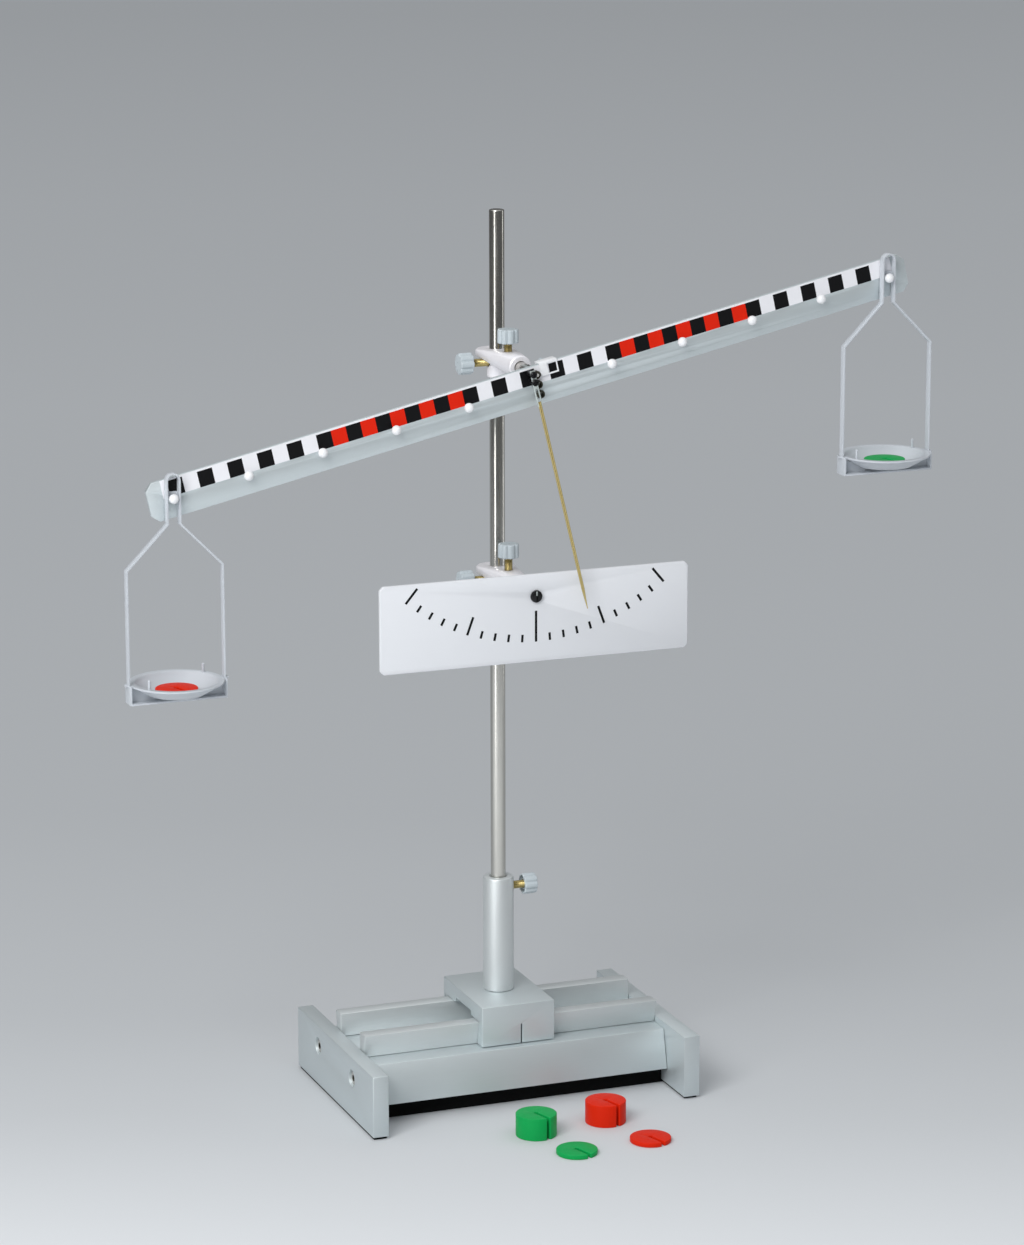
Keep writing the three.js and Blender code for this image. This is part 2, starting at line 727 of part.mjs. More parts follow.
function makeWeights() {
  return group(
    looseWeight('thick_green_weight', weight.thick, greenPaint, -13.5, -104.5),
    looseWeight('thick_red_weight', weight.thick, redPaint, 38.2, -97.7),
    looseWeight('thin_green_weight', weight.thin, greenPaint, -1.4, -146),
    looseWeight('thin_red_weight', weight.thin, redPaint, 51.6, -142.5),
  );
}

// ---------- the whole set, with its origin in the middle of its footprint ----------

const balance = group(
  makeRail(),
  makeCarriage(),
  makeUpperClamp(),
  makeLowerClamp(),
  makeBeam(),
  makePan('left', panWeight.red, redPaint),
  makePan('right', panWeight.green, greenPaint),
  makeWeights(),
);
const footprint = new THREE.Box3().setFromObject(balance, true).getCenter(new THREE.Vector3());
balance.position.set(-footprint.x, -footprint.y, 0);

export default balance;
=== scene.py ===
"""Looks of the demonstration beam balance: finer meshes, printed scales, finishes, light and camera.

Meshes are drawn in millimetres, each in a frame of its own. add_piece places them in metres.
"""

import math

import bmesh
import bpy
from mathutils import Matrix, Vector
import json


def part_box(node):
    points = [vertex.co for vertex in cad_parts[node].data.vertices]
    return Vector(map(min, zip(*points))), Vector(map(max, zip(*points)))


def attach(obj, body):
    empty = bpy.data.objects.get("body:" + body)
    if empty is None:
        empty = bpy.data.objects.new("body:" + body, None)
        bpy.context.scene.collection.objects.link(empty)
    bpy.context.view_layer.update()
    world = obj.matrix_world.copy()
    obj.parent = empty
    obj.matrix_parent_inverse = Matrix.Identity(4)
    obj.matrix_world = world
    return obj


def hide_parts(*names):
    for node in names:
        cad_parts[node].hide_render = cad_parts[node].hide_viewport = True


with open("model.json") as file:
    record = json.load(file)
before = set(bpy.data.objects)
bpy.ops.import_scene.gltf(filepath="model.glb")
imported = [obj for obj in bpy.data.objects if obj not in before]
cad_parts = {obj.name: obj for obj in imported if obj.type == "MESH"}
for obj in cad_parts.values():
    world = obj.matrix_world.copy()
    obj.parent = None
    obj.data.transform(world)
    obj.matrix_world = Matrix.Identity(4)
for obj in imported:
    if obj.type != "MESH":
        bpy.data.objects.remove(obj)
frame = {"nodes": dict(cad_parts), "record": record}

MM = 0.001
UP = Vector((0, 0, 1))
SHARP_ANGLE = math.radians(32)

BODIES = frame["record"]["behaviour"]["bodies"]

ROD_BORE = 5.3
STUD_RADIUS = 2.7
STUD_HOLE = 3.1
AXLE_END = 11.0  # length of the axle's thin end, which lies in the bearing

BEAM_TILT = math.radians(12.68)
BALL_LINE = -6.5  # height of the pins' line in the beam's frame
PINS = 5  # on each arm
PIN_STEP = 50.0
PIN_DEPTH = 2.3  # how far a pin's foot sits in the beam
SQUARES = 25  # on each arm
SQUARE = 10.0
SQUARE_SHIFT = 4.5
SQUARE_LOW = 0.5
SQUARE_HIGH = 10.8
STRIP_TOP = 12.0
STRIP_HALF = 255.0
PRINT = 0.06  # thickness of printed marks
POINTER_AT = -4.3
POINTER_LEAN = math.radians(0.95)
POINTER_SCREWS = {"upper": 2.4, "lower": -2.8}

TARE_KNOB_RADIUS = 4.6

PEG_AT = 27.0  # from the middle of a bowl
PEG_HEIGHT = 6.0
PEG_TURNS = {"left": math.radians(35), "right": math.radians(22)}

DISC_RADIUS = 13.5
DISC_TURN = math.radians(-74)

TICKS = 10  # on each side of the longest
TICK_STEP = math.radians(4)
TICK_CENTRE = 108.5  # above the dial's screw
TICK_RADIUS = 138.6
TICK_WIDTH = 1.6

CAMERA_FROM_ROD = Vector((-0.98725, -2.60541, 0.98723))
CAMERA_YAW = math.radians(20.948)
CAMERA_PITCH = math.radians(13.468)
CAMERA_ROLL = math.radians(-0.1)
CAMERA_LENS = 125.48


# ---------- boxes of the CAD nodes, in millimetres ----------

def low(node):
    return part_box(node)[0] / MM


def high(node):
    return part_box(node)[1] / MM


def centre(node):
    return (low(node) + high(node)) / 2


def size(node):
    return high(node) - low(node)


# ---------- finishes ----------

def linear(red, green, blue):
    """A colour given as it shows on screen, 0 to 255, as the shader's linear values."""
    def channel(value):
        value /= 255
        return value / 12.92 if value <= 0.04045 else ((value + 0.055) / 1.055) ** 2.4
    return (channel(red), channel(green), channel(blue), 1.0)


def scaled(colour, factor):
    return (*(min(1.0, channel * factor) for channel in colour[:3]), 1.0)


def noise(nodes, links, source, grain, detail=4.0):
    """Noise stretched by a scale for each axis of the piece's own frame."""
    mapping = nodes.new("ShaderNodeMapping")
    mapping.inputs["Scale"].default_value = grain
    texture = nodes.new("ShaderNodeTexNoise")
    texture.inputs["Scale"].default_value = 1.0
    texture.inputs["Detail"].default_value = detail
    links.new(source, mapping.inputs["Vector"])
    links.new(mapping.outputs["Vector"], texture.inputs["Vector"])
    return texture.outputs["Fac"]


def ranged(nodes, links, factor, lowest, highest):
    span = nodes.new("ShaderNodeMapRange")
    span.inputs["From Min"].default_value = 0.3
    span.inputs["From Max"].default_value = 0.7
    span.inputs["To Min"].default_value = lowest
    span.inputs["To Max"].default_value = highest
    links.new(factor, span.inputs["Value"])
    return span.outputs["Result"]


def finish(name, colour, roughness, metallic=0.0, grain=(900, 900, 900), uneven=0.06, tint=0.04,
           relief=0.02, specular=0.5):
    """A procedural finish: its colour and gloss drift a little and its surface has a fine grain."""
    material = bpy.data.materials.new(name)
    material.use_nodes = True
    nodes, links = material.node_tree.nodes, material.node_tree.links
    shader = nodes["Principled BSDF"]
    shader.inputs["Metallic"].default_value = metallic
    shader.inputs["Specular IOR Level"].default_value = specular
    place = nodes.new("ShaderNodeTexCoord").outputs["Object"]
    drift = noise(nodes, links, place, (28, 28, 28))
    fine = noise(nodes, links, place, grain)
    mix = nodes.new("ShaderNodeMix")
    mix.data_type = "RGBA"
    mix.inputs["A"].default_value = scaled(colour, 1 - tint)
    mix.inputs["B"].default_value = scaled(colour, 1 + tint)
    links.new(drift, mix.inputs["Factor"])
    links.new(mix.outputs["Result"], shader.inputs["Base Color"])
    gloss = ranged(nodes, links, fine, roughness - uneven, roughness + uneven)
    links.new(gloss, shader.inputs["Roughness"])
    bump = nodes.new("ShaderNodeBump")
    bump.inputs["Strength"].default_value = relief
    bump.inputs["Distance"].default_value = 0.0004
    links.new(fine, bump.inputs["Height"])
    links.new(bump.outputs["Normal"], shader.inputs["Normal"])
    return material


LENGTHWISE_X = (60, 2600, 2600)
LENGTHWISE_Z = (2600, 2600, 60)
FINISHES = {
    "anodised_aluminium": finish("anodised_aluminium", linear(214, 222, 224), 0.52, 0.75,
                                 LENGTHWISE_X, 0.05, 0.02, 0.03),
    "bright_aluminium": finish("bright_aluminium", linear(216, 221, 222), 0.52, 0.7,
                               LENGTHWISE_X, 0.05, 0.02, 0.03),
    "stainless_steel": finish("stainless_steel", linear(198, 196, 190), 0.2, 1.0,
                              LENGTHWISE_Z, 0.05, 0.03, 0.02),
    "brass": finish("brass", linear(196, 178, 122), 0.28, 1.0, LENGTHWISE_Z, 0.08, 0.06, 0.02),
    "die_cast": finish("die_cast", linear(248, 246, 250), 0.38, 0.2, (420, 420, 420), 0.08, 0.03, 0.06),
    "grey_plastic": finish("grey_plastic", linear(192, 202, 207), 0.3, 0.0, (700, 700, 700), 0.06,
                           0.04, 0.03),
    "white_plastic": finish("white_plastic", linear(240, 241, 243), 0.32, 0.0, (500, 500, 500), 0.05,
                            0.02, 0.02),
    "dial_white": finish("dial_white", linear(226, 228, 232), 0.45, 0.0, (300, 300, 300), 0.04, 0.01,
                         0.01, 0.3),
    "black_steel": finish("black_steel", linear(26, 26, 28), 0.35, 0.5, (900, 900, 900), 0.08, 0.2, 0.03),
    "black_rubber": finish("black_rubber", linear(14, 15, 15), 0.85, 0.0, (900, 900, 900), 0.05, 0.2,
                           0.2, 0.1),
    "red_coated_metal": finish("red_coated_metal", linear(220, 40, 12), 0.45, 0.0, (420, 420, 420),
                               0.05, 0.05, 0.03, 0.1),
    "green_plastic": finish("green_plastic", linear(14, 164, 82), 0.45, 0.0, (420, 420, 420), 0.05,
                            0.05, 0.03, 0.15),
}
# Pieces whose finish differs from the rest of their slot.
PAN_PLASTIC = finish("pan_plastic", linear(198, 203, 209), 0.34, 0.0, (500, 500, 500), 0.05, 0.02, 0.02)
DARK_BRASS = finish("dark_brass", linear(74, 72, 62), 0.3, 0.9, (900, 900, 900), 0.08, 0.1, 0.02)
# Pale steel of the pointer bracket, also used for the painted glint in the dial screw's slot.
PALE_STEEL_AND_GLINT = finish("pale_steel_and_painted_glint", linear(206, 214, 210), 0.34, 0.8, (900, 900, 900), 0.06, 0.03, 0.02)
PRINTS = {
    "black": finish("print_black", linear(12, 12, 14), 0.5, 0.0, (600, 600, 600), 0.05, 0.15, 0.01, 0.15),
    "white": finish("print_white", linear(240, 240, 244), 0.42, 0.0, (600, 600, 600), 0.05, 0.01, 0.01),
    "red": finish("print_red", linear(224, 38, 14), 0.5, 0.0, (600, 600, 600), 0.05, 0.05, 0.01, 0.1),
}


# ---------- meshes ----------

def revolve(profile, segments=64):
    """A turned solid about Z. The (radius, height) profile starts and ends on the axis, or is a ring."""
    bm = bmesh.new()
    rings = []
    for radius, height in profile:
        if radius == 0:
            rings.append([bm.verts.new((0, 0, height))])
            continue
        turns = [2 * math.pi * k / segments for k in range(segments)]
        rings.append([bm.verts.new((radius * math.cos(t), radius * math.sin(t), height)) for t in turns])
    pairs = list(zip(rings, rings[1:]))
    if profile[0][0] > 0:
        pairs.append((rings[-1], rings[0]))
    for one, other in pairs:
        join_rings(bm, one, other)
    return bm


def join_rings(bm, one, other):
    """Faces between two closed rings, either of which may be a single point."""
    count = max(len(one), len(other))
    for k in range(count):
        following = (k + 1) % count
        if len(one) == 1:
            bm.faces.new((one[0], other[k], other[following]))
        elif len(other) == 1:
            bm.faces.new((one[k], one[following], other[0]))
        else:
            bm.faces.new((one[k], one[following], other[following], other[k]))


def prism(outline, bottom, top):
    """An outline in X and Y, given height along Z."""
    bm = bmesh.new()
    lower = [bm.verts.new((x, y, bottom)) for x, y in outline]
    upper = [bm.verts.new((x, y, top)) for x, y in outline]
    bm.faces.new(lower)
    bm.faces.new(upper)
    join_rings(bm, lower, upper)
    return bm


def cuboid(lowest, highest):
    (x0, y0, z0), (x1, y1, z1) = lowest, highest
    return prism([(x0, y0), (x1, y0), (x1, y1), (x0, y1)], z0, z1)


def rod_along(direction, radius, start, end, segments=48):
    """A plain round bar from one point to another, both given along a direction from the origin."""
    bm = revolve([(0, start), (radius, start), (radius, end), (0, end)], segments)
    bm.transform(facing(direction))
    return bm


def facing(direction):
    """Turns Z to a direction."""
    return UP.rotation_difference(Vector(direction)).to_matrix().to_4x4()


def at(*point):
    return Matrix.Translation(point)


def moved(bm, matrix):
    bm.transform(matrix)
    return bm


def combined(first, second, operation):
    """The union or difference of two solids."""
    bmesh.ops.recalc_face_normals(first, faces=first.faces)
    bmesh.ops.recalc_face_normals(second, faces=second.faces)
    objects = []
    for bm in (first, second):
        mesh = bpy.data.meshes.new("solid")
        bm.to_mesh(mesh)
        bm.free()
        objects.append(bpy.data.objects.new("solid", mesh))
        bpy.context.scene.collection.objects.link(objects[-1])
    modifier = objects[0].modifiers.new("combine", "BOOLEAN")
    modifier.operation = operation
    modifier.solver = "EXACT"
    modifier.object = objects[1]
    evaluated = objects[0].evaluated_get(bpy.context.evaluated_depsgraph_get())
    result = bmesh.new()
    result.from_mesh(evaluated.data)
    for obj in objects:
        mesh = obj.data
        bpy.data.objects.remove(obj)
        bpy.data.meshes.remove(mesh)
    return result


def union(first, *others):
    for other in others:
        first = combined(first, other, "UNION")
    return first


def carve(first, *tools):
    for tool in tools:
        first = combined(first, tool, "DIFFERENCE")
    return first


def hull(first, second):
    """The convex shape that is stretched over two solids."""
    mesh = bpy.data.meshes.new("solid")
    second.to_mesh(mesh)
    second.free()
    first.from_mesh(mesh)
    bpy.data.meshes.remove(mesh)
    made = bmesh.ops.convex_hull(first, input=first.verts)
    inner = set(made["geom_interior"] + made["geom_unused"])
    inner_verts = [part for part in inner if isinstance(part, bmesh.types.BMVert)]
    bmesh.ops.delete(first, geom=inner_verts, context="VERTS")
    outer = set(made["geom"])
    inner_faces = [face for face in first.faces if face not in outer]
    bmesh.ops.delete(first, geom=inner_faces, context="FACES_ONLY")
    return first


def rounded(bm, width, segments=2, angle=30):
    """Softens the edges that are sharper than an angle."""
    bmesh.ops.remove_doubles(bm, verts=bm.verts, dist=0.002)
    bmesh.ops.dissolve_limit(bm, angle_limit=math.radians(1.5), verts=bm.verts, edges=bm.edges)
    bmesh.ops.recalc_face_normals(bm, faces=bm.faces)
    sharp = [e for e in bm.edges if e.is_manifold and e.calc_face_angle(0) > math.radians(angle)]
    bmesh.ops.bevel(bm, geom=sharp, offset=width, segments=segments, profile=0.5, affect="EDGES",
                    clamp_overlap=True)
    return bm


def add_piece(name, bm, body, material, stands_for=(), place=None):
    """Puts a mesh into the scene in metres, on a CAD body, and hides the CAD nodes it stands for."""
    place = place.copy() if place else Matrix.Identity(4)
    place.translation *= MM
    bm.transform(Matrix.Scale(MM, 4))
    bmesh.ops.recalc_face_normals(bm, faces=bm.faces)
    mesh = bpy.data.meshes.new(name)
    bm.to_mesh(mesh)
    bm.free()
    mesh.shade_smooth()
    mesh.set_sharp_from_angle(angle=SHARP_ANGLE)
    mesh.materials.append(material)
    obj = bpy.data.objects.new(name, mesh)
    bpy.context.scene.collection.objects.link(obj)
    obj.matrix_world = place
    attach(obj, body)
    if stands_for:
        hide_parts(*stands_for)
    return obj


def refine(node, bm, slot, place=None, material=None):
    """A finer mesh that stands for one CAD node, in that node's body and finish."""
    body = next(name for name, members in BODIES.items() if node in members)
    return add_piece(f"{node}_fine", bm, body, material or FINISHES[slot], [node], place)


def soften(node, slot, width, place=None, material=None):
    """The CAD node's own shape with its edges rounded."""
    bm = bmesh.new()
    bm.from_mesh(frame["nodes"][node].data)
    bm.transform(Matrix.Scale(1 / MM, 4))
    if place:
        bm.transform(place.inverted())
    refine(node, rounded(bm, width), slot, place, material)


# ---------- rail, carriage and rod ----------

def cap_screw(node, inward):
    """Socket head screw whose head points outwards along X."""
    length = size(node).x
    radius = size(node).y / 2
    head = 5.0
    screw = revolve([(0, 0), (radius - 0.5, 0), (radius, 0.5), (radius, head), (2.5, head), (2.5, length),
                     (0, length)])
    screw = carve(screw, revolve([(0, -1), (2.3, -1), (2.3, 2.4), (0, 2.4)], 6))
    outer = low(node).x if inward > 0 else high(node).x
    place = at(outer, centre(node).y, centre(node).z) @ facing((inward, 0, 0))
    refine(node, screw, "stainless_steel", place)


def dress_rail():
    for side, inward in (("left", 1), ("right", -1)):
        soften(f"{side}_end_plate", "anodised_aluminium", 0.7)
        for row in ("front", "rear"):
            cap_screw(f"{side}_{row}_plate_screw", inward)
    soften("rail_bed", "anodised_aluminium", 0.35)
    # Matte black block under the rail bed that fills the space down to the floor, so the gap under the
    # bed shows black.
    soften("underbody", "black_rubber", 0.3)
    soften("front_slide_bar", "bright_aluminium", 0.35)
    soften("rear_slide_bar", "bright_aluminium", 0.35)


def dress_sleeve():
    bottom = low("column_sleeve").z
    height = size("column_sleeve").z
    radius = size("column_sleeve").x / 2
    tube = revolve([(ROD_BORE, 0), (radius - 0.3, 0), (radius, 0.3), (radius, height - 1.6),
                    (radius - 0.6, height - 0.5), (radius - 1.6, height), (ROD_BORE + 0.8, height),
                    (ROD_BORE, height - 0.8)], 96)
    screw_height = centre("sleeve_thumbscrew_stud").z - bottom
    tube = carve(tube, moved(rod_along((1, 0, 0), STUD_HOLE, 0, 20), at(0, 0, screw_height)))
    axis = centre("column_sleeve")
    refine("column_sleeve", tube, "bright_aluminium", at(axis.x, axis.y, bottom))


def dress_rod():
    height = size("support_rod").z
    radius = size("support_rod").x / 2
    profile = [(0, 0), (radius - 0.8, 0), (radius, 0.8), (radius, height - 0.9),
               (radius - 0.25, height - 0.3), (radius - 0.9, height), (0, height)]
    axis = centre("support_rod")
    place = at(axis.x, axis.y, low("support_rod").z)
    refine("support_rod", revolve(profile, 96), "stainless_steel", place)


# ---------- thumbscrews ----------

def fluted_knob(radius, length, hole, lobes=8, groove=1.0):
    """Knob with broad lobes, hollow on the side of its stud, along +Z from that side.

    Each ring has its radius, its height and how much of the grooves' depth it shows.
    """
    steps = lobes * 14
    groove_sharpness = 5.2
    rings = [
        (0, length * 0.58, 0), (hole, length * 0.58, 0), (hole, length * 0.08, 0),
        (radius * 0.52, length * 0.06, 0), (radius * 0.54, length * 0.4, 0),
        (radius * 0.76, length * 0.4, 0), (radius * 0.79, 0.3, 0), (radius * 0.84, 0, 0.6),
        (radius - 0.5, 0.1, 1), (radius, 0.7, 1), (radius * 0.985, length - 1.1, 1),
        (radius * 0.96, length - 0.45, 1), (radius * 0.9, length - 0.1, 0.8),
        (radius * 0.8, length, 0.3), (radius * 0.6, length, 0), (0, length, 0),
    ]
    bm = bmesh.new()
    loops = []
    for base, height, depth in rings:
        if base == 0:
            loops.append([bm.verts.new((0, 0, height))])
            continue
        loop = []
        for k in range(steps):
            turn = 2 * math.pi * k / steps
            from_groove = (turn * lobes / (2 * math.pi)) % 1 - 0.5
            r = base - depth * groove * math.exp(-((from_groove * groove_sharpness) ** 2))
            loop.append(bm.verts.new((r * math.cos(turn), r * math.sin(turn), height)))
        loops.append(loop)
    for one, other in zip(loops, loops[1:]):
        join_rings(bm, one, other)
    return bm


def threaded_stud(radius, length, pitch=0.8):
    """Stud along +Z with a plain point and thread ridges."""
    profile = [(0, 0), (radius - 0.7, 0), (radius - 0.3, 0.5)]
    height = 1.0
    while height < length - pitch:
        profile.append((radius - 0.28, height))
        profile.append((radius, height + pitch / 2))
        height += pitch
    profile.append((radius - 0.28, length))
    profile.append((0, length))
    return revolve(profile, 32)


def dress_thumbscrew(name, direction):
    """Knob and stud of the thumbscrew whose knob points away along a direction."""
    outward = Vector(direction)
    knob, stud = f"{name}_knob", f"{name}_stud"
    length = abs(size(knob).dot(outward))
    radius = min(size(knob)[k] for k in range(3) if direction[k] == 0) / 2
    face = centre(knob) - outward * length / 2
    refine(knob, fluted_knob(radius, length, STUD_HOLE), "grey_plastic", at(*face) @ facing(direction))
    reach = abs(size(stud).dot(outward))
    tip = centre(stud) - outward * reach / 2
    refine(stud, threaded_stud(STUD_RADIUS, reach), "brass", at(*tip) @ facing(direction))


# ---------- clamps ----------

def clamp_casting():
    """Core round the rod, under a deck that runs from a lobe behind the rod to a collar in front.

    Z runs up the rod and -Y out of the collar.
    """
    lobe = revolve([(0, 0.5), (12.2, 0.5), (13, 1.3), (13, 4.2), (12.2, 5), (0, 5)], 72)
    lobe.transform(at(0, 3, 0))
    collar = revolve([(0, 0), (6.9, 0), (7.7, 0.8), (7.7, 8), (0, 8)], 64)
    collar.transform(at(0, -43, 0) @ facing((0, 1, 0)))
    core = revolve([(0, -13), (5.9, -13), (6.6, -12.3), (6.6, 4), (0, 4)], 64)
    body = carve(
        union(hull(lobe, collar), core),
        rod_along((0, 0, 1), ROD_BORE, -20, 20, 64),
        rod_along((0, 1, 0), 4.3, -44, -15),
        moved(rod_along((1, 0, 0), STUD_HOLE, -20, 0, 32), at(0, 0, -3)),
        moved(rod_along((0, 0, 1), STUD_HOLE, 0, 20, 32), at(0, -20.3, 0)),
    )
    return rounded(body, 0.35, 2, 40)


def dress_clamp(name, axis_node):
    rod_axis = centre("support_rod")
    place = at(rod_axis.x, rod_axis.y, centre(axis_node).z)
    refine(f"{name}_clamp", clamp_casting(), "die_cast", place)
    dress_thumbscrew(f"{name}_side_screw", (-1, 0, 0))
    dress_thumbscrew(f"{name}_top_screw", (0, 0, 1))


def dress_axle():
    length = size("beam_axle").y
    profile = [(0, 0), (0.9, 0), (1.2, 0.3), (1.2, AXLE_END), (3.6, AXLE_END), (4, AXLE_END + 0.4),
               (4, length - 0.5), (3.5, length), (0, length)]
    place = at(centre("beam_axle").x, low("beam_axle").y, centre("beam_axle").z) @ facing((0, 1, 0))
    refine("beam_axle", revolve(profile, 48), "stainless_steel", place)


# ---------- dial ----------

def mark(bm, centre_x, centre_z, half_along, half_across, turn, front):
    """A printed mark: a thin plate in front of a face that looks along -Y."""
    plate = cuboid((-half_across, front - PRINT, -half_along), (half_across, front + 0.02, half_along))
    plate.transform(at(centre_x, 0, centre_z) @ Matrix.Rotation(turn, 4, "Y"))
    mesh = bpy.data.meshes.new("mark")
    plate.to_mesh(mesh)
    plate.free()
    bm.from_mesh(mesh)
    bpy.data.meshes.remove(mesh)


def tick_length(division):
    if division == 0:
        return 20.5
    return 12.3 if division % 5 == 0 else 5.0


def dress_dial():
    soften("dial_plate", "dial_white", 0.5)
    screw = centre("dial_screw")
    front = low("dial_plate").y
    ticks = bmesh.new()
    for division in range(-TICKS, TICKS + 1):
        turn = division * TICK_STEP
        length = tick_length(division)
        middle = TICK_RADIUS - length / 2
        mark(ticks, middle * math.sin(turn), TICK_CENTRE - middle * math.cos(turn), length / 2,
             TICK_WIDTH / 2, -turn, front)
    add_piece("dial_ticks", ticks, "dial", PRINTS["black"], place=at(screw.x, 0, screw.z))
    length = size("dial_screw").y
    head = revolve([(0, 0), (2.6, 0), (3.6, 0.5), (4, 1.3), (4, 2.1), (2, 2.1), (2, length),
                    (0, length)], 64)
    slot = cuboid((-0.65, -5, -1), (0.65, 5, 1.2))
    # Painted highlight: a pale patch on one side of the slot's floor stands in for a glint of light on
    # the black screw.
    painted_glint = cuboid((-0.6, -3.3, 0.9), (0.6, -0.6, 1.25))
    place = at(screw.x, low("dial_screw").y, screw.z) @ facing((0, 1, 0))
    refine("dial_screw", carve(head, slot), "black_steel", place)
    add_piece("dial_screw_painted_glint", painted_glint, "dial", PALE_STEEL_AND_GLINT, place=place)


# ---------- beam ----------

def beam_place():
    """The frame of the beam: X along it, Z across it, origin on the axle's line."""
    pivot = centre("top_bearing_eyelet")
    return at(pivot.x, 0, pivot.z) @ Matrix.Rotation(-BEAM_TILT, 4, "Y")


def ball_pin():
    """Pin with a ball head, along +Z from its foot."""
    length, radius, ball = 7.9, 1.0, 3.1
    start = math.asin(radius / ball)
    arc = [start + (math.pi - start) * k / 18 for k in range(18)]
    profile = [(0, 0), (radius, 0)]
    profile += [(ball * math.sin(t), length - ball * math.cos(t)) for t in arc]
    return revolve(profile + [(0, length + ball)], 40)


def eyelet():
    """Hollow rivet with a rolled flange, along +Z from its front."""
    return revolve([(1.5, 0.6), (1.7, 0.15), (2.1, 0), (2.5, 0.15), (2.7, 0.6), (2.7, 2.4), (2, 2.4),
                    (2, 5.9), (1.5, 5.9)], 48)


def square_paint(number):
    if number % 2:
        return "black"
    return "red" if 6 <= abs(number) <= 14 else "white"


def print_scale(place, front):
    """A white strip along the upper half of the beam's front, printed with centimetre squares."""
    strips = {paint: bmesh.new() for paint in PRINTS}
    half = (STRIP_TOP - SQUARE_LOW) / 2
    mark(strips["white"], 0, BALL_LINE + SQUARE_LOW + half, half, STRIP_HALF, 0, front)
    half = (SQUARE_HIGH - SQUARE_LOW) / 2
    for number in range(-SQUARES, SQUARES):
        paint = square_paint(number)
        if paint != "white":
            x = number * SQUARE + SQUARE_SHIFT
            mark(strips[paint], x, BALL_LINE + SQUARE_LOW + half, half, SQUARE / 2, 0, front - PRINT)
    for paint, bm in strips.items():
        add_piece(f"scale_squares_{paint}", bm, "beam", PRINTS[paint], place=place)


def dress_pins(place):
    foot = low("beam_bar").y + PIN_DEPTH
    for side, sign in (("left", -1), ("right", 1)):
        for number in range(1, PINS + 1):
            spot = place @ at(sign * number * PIN_STEP, foot, BALL_LINE) @ facing((0, -1, 0))
            refine(f"{side}_pin_{number}", ball_pin(), "white_plastic", spot)


def dress_eyelets(place):
    front = low("top_bearing_eyelet").y
    for step, name in enumerate(("top", "middle", "bottom")):
        spot = place @ at(0, front, step * BALL_LINE) @ facing((0, 1, 0))
        refine(f"{name}_bearing_eyelet", eyelet(), "brass", spot, DARK_BRASS)


def dress_pointer(place):
    """Brass wire folded double, whose two strands close to a point, on a flat steel bracket."""
    spot = place @ at(POINTER_AT, centre("pointer").y, 0) @ Matrix.Rotation(-POINTER_LEAN, 4, "Y")
    strands = []
    for side in (-1, 1):
        wire = revolve([(0, -157.8), (0.25, -157.6), (0.6, -144), (0.6, -16), (0, -15.6)], 20)
        for vert in wire.verts:
            vert.co.x += side * 0.55 * min(1.0, (vert.co.z + 158) / 16)
        strands.append(wire)
    refine("pointer", union(*strands), "brass", spot)
    bracket = rounded(cuboid((-1.7, -0.6, -19), (1.7, 0.6, 5)), 0.3)
    for height in POINTER_SCREWS.values():
        bracket = carve(bracket, moved(rod_along((0, 1, 0), 1.3, -2, 2, 32), at(0, 0, height)))
    add_piece("pointer_bracket", carve(bracket, cuboid((-1, -1, -30), (1, 1, -7))), "beam", PALE_STEEL_AND_GLINT,
              place=spot)


def dress_pointer_screws(place):
    """Round screws with a cross recess, on shoulders that stand off the beam."""
    for name, height in POINTER_SCREWS.items():
        node = f"{name}_pointer_screw"
        length = size(node).y
        profile = [(0, 0), (1.6, 0), (2.2, 0.6), (2.2, 1.4), (1.1, 1.4), (1.1, 3.2), (1.8, 3.2),
                   (1.8, length - 2.6), (1.1, length - 2.6), (1.1, length), (0, length)]
        cross = (cuboid((-1.8, -0.4, -1), (1.8, 0.4, 0.9)), cuboid((-0.4, -1.8, -1), (0.4, 1.8, 0.9)))
        spot = place @ at(POINTER_AT, low(node).y, height) @ facing((0, 1, 0))
        refine(node, carve(revolve(profile, 48), *cross), "black_steel", spot)


def dress_tare(place):
    soften("tare_clip", "white_plastic", 0.2, place)
    knob_back = high("tare_knob").y
    length = 6.0
    stem = rod_along((0, 0, 1), 1.4, -3, 1, 24)
    core = rod_along((0, 0, 1), 2.4, 0.4, 5, 24)
    knob = union(fluted_knob(TARE_KNOB_RADIUS, length, 1.6, groove=0.6), stem, core)
    middle = place.inverted() @ centre("tare_knob")
    spot = place @ at(middle.x, knob_back - length, middle.z) @ facing((0, 1, 0))
    refine("tare_knob", knob, "grey_plastic", spot)


def dress_beam():
    place = beam_place()
    soften("beam_bar", "anodised_aluminium", 0.3, place)
    print_scale(place, low("beam_bar").y)
    dress_pins(place)
    dress_eyelets(place)
    dress_pointer(place)
    dress_pointer_screws(place)
    dress_tare(place)


# ---------- pans ----------

